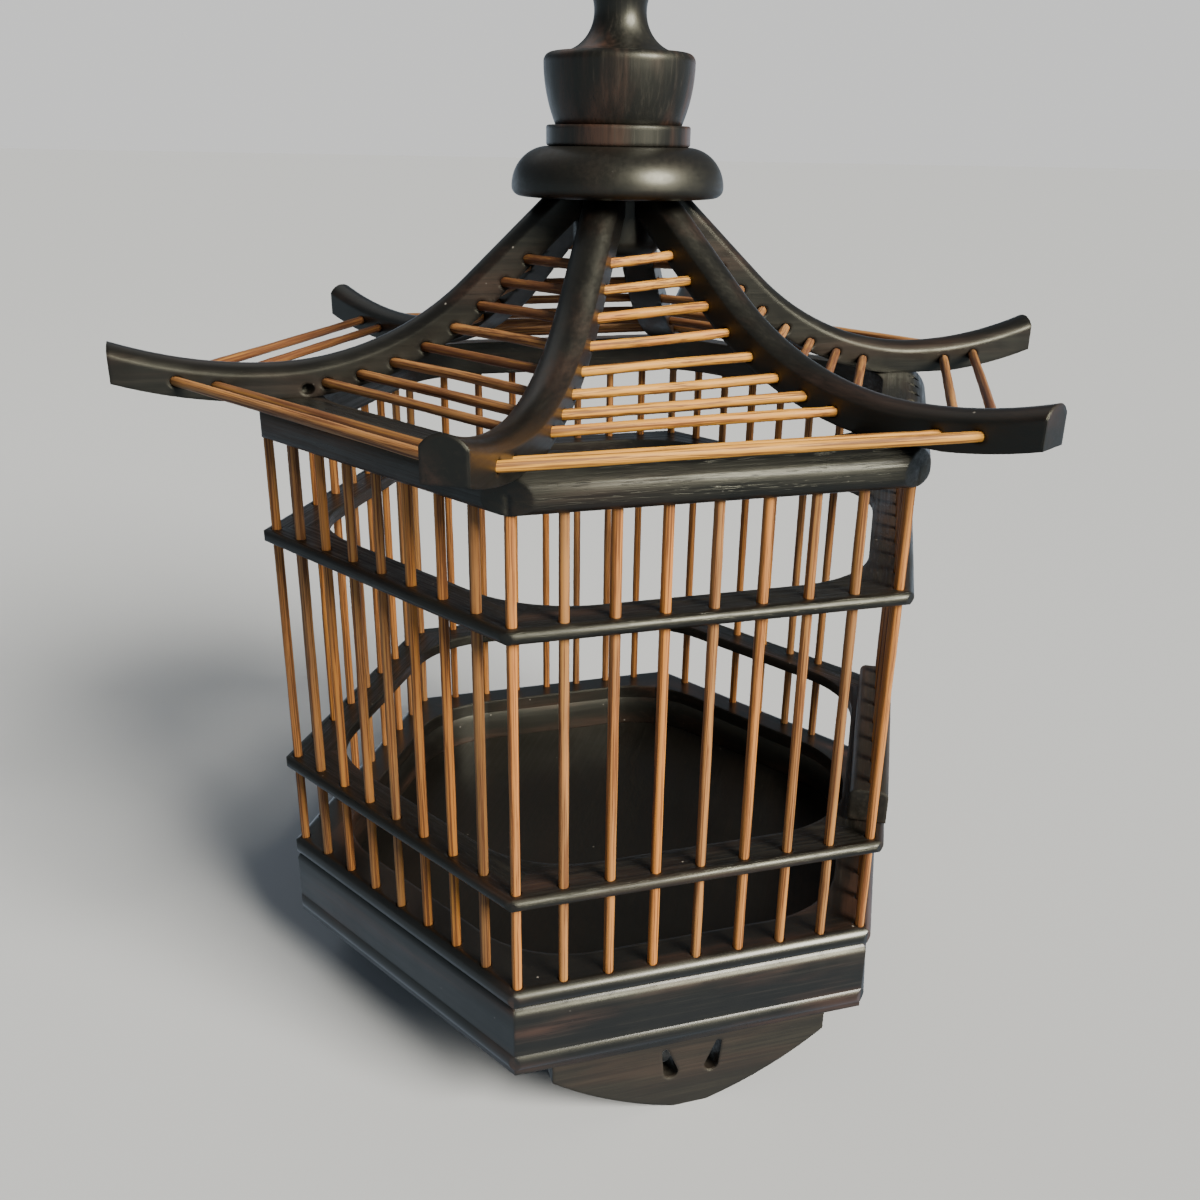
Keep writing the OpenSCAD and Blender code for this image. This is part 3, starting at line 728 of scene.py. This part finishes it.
def make_camera(look):
    """Camera that looks down at the cage, tilted about its line of sight"""
    back = direction(look.azimuth, look.elevation)
    right = Vector((math.cos(look.azimuth), math.sin(look.azimuth), 0))
    upward = back.cross(right)
    axis_x = right * math.cos(look.roll) + upward * math.sin(look.roll)
    axis_y = upward * math.cos(look.roll) - right * math.sin(look.roll)
    clear_selection()
    bpy.ops.object.camera_add()
    camera = bpy.context.object
    camera.name = "camera"
    camera.matrix_world = (
        Matrix.Translation(look.camera_at) @ Matrix((axis_x, axis_y, back)).transposed().to_4x4())
    camera.data.sensor_width = SENSOR_WIDTH
    camera.data.lens = look.lens
    camera.data.clip_start, camera.data.clip_end = CAMERA_RANGE
    bpy.context.scene.camera = camera


# Operators


class CAGE_OT_wall_bars(bpy.types.Operator):
    """Upright bamboo bars of the corners, the walls and the sill"""

    bl_idname = "cage.wall_bars"
    bl_label = "Wall bars"

    def execute(self, context):
        chance = random.Random(context.scene.cage_bars.seed)
        finish = bamboo(WALL_FINISH)
        patterns = stick_patterns(chance, bowed=False)
        for node in WALL_SETS:
            piece = bar_set(node, UP, patterns, chance, finish, WALL_TONES)
            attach(piece, "cage")
        remove_patterns(patterns)
        return {"FINISHED"}


class CAGE_OT_door_bars(bpy.types.Operator):
    """Bamboo bars that slide with the door, in the finish of the wall bars"""

    bl_idname = "cage.door_bars"
    bl_label = "Door bars"

    def execute(self, context):
        chance = random.Random(context.scene.cage_bars.seed + 1)
        patterns = stick_patterns(chance, bowed=False)
        piece = bar_set(DOOR_SET, UP, patterns, chance, bpy.data.materials[WALL_FINISH], WALL_TONES)
        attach(piece, "door")
        remove_patterns(patterns)
        return {"FINISHED"}


class CAGE_OT_roof_bars(bpy.types.Operator):
    """Bamboo bars between the ribs of the roof"""

    bl_idname = "cage.roof_bars"
    bl_label = "Roof bars"

    def execute(self, context):
        chance = random.Random(context.scene.cage_bars.seed + 2)
        finish = bamboo(ROOF_FINISH)
        patterns = stick_patterns(chance, bowed=True)
        for node, angle in ROOF_SETS.items():
            facing = math.radians(angle)
            along = Vector((-math.sin(facing), math.cos(facing), 0))
            # The pale side's tones are partly painted light; the other sides' dark tones are partly painted
            # shade
            tones = PALE_AND_PAINTED_LIGHT_TONES if node == PALE_AND_PAINTED_LIGHT_SET else ROOF_DARK_AND_PAINTED_SHADE_TONES
            piece = bar_set(node, along, patterns, chance, finish, tones)
            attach(piece, "cage")
        remove_patterns(patterns)
        return {"FINISHED"}


class CAGE_OT_dark_wood(bpy.types.Operator):
    """Finishes of the dark wood, by the way that each piece was cut"""

    bl_idname = "cage.dark_wood"
    bl_label = "Dark wood"

    def execute(self, context):
        for name, (nodes, wood) in WOODS.items():
            finish = dark_wood(name, **wood)
            for node in nodes:
                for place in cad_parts[node].material_slots:
                    place.material = finish
        return {"FINISHED"}


class CAGE_OT_stage(bpy.types.Operator):
    """Floor, soft lights and camera"""

    bl_idname = "cage.stage"
    bl_label = "Stage"

    def execute(self, context):
        look = context.scene.cage_stage
        make_floor(look)
        make_air(look)
        window = make_light("window_light", "SUN", look.azimuth + look.window_side, look.window_height)
        window.data.energy = look.window
        window.data.color = look.window_colour
        window.data.angle = look.window_width
        rear = make_light("rear_light", "AREA", look.azimuth - REAR_SIDE, REAR_HEIGHT)
        rear.data.energy = look.rear
        rear.data.size = REAR_SIZE
        make_camera(look)
        return {"FINISHED"}


class CAGE_PT_panel(bpy.types.Panel):
    """Sizes, colours and steps of the cricket cage"""

    bl_idname = "CAGE_PT_panel"
    bl_label = "Cricket cage"
    bl_space_type = "VIEW_3D"
    bl_region_type = "UI"
    bl_category = "Cricket cage"

    def draw(self, context):
        for name in GROUPS:
            group = getattr(context.scene, name)
            box = self.layout.box()
            for key in group.bl_rna.properties.keys():
                if key not in ("rna_type", "name"):
                    box.prop(group, key)
        for step in STEPS:
            self.layout.operator(step.bl_idname)


GROUPS = {"cage_bars": CageBars, "cage_finish": CageFinish, "cage_stage": CageStage}
STEPS = [CAGE_OT_wall_bars, CAGE_OT_door_bars, CAGE_OT_roof_bars, CAGE_OT_dark_wood, CAGE_OT_stage]
CLASSES = [*GROUPS.values(), *STEPS, CAGE_PT_panel]


def register():
    for made in CLASSES:
        bpy.utils.register_class(made)
    for name, group in GROUPS.items():
        setattr(bpy.types.Scene, name, PointerProperty(type=group))


def unregister():
    for name in GROUPS:
        delattr(bpy.types.Scene, name)
    for made in reversed(CLASSES):
        bpy.utils.unregister_class(made)


def main():
    register()
    bpy.ops.cage.wall_bars()
    bpy.ops.cage.door_bars()
    bpy.ops.cage.roof_bars()
    bpy.ops.cage.dark_wood()
    bpy.ops.cage.stage()


if __name__ == "__main__":
    main()
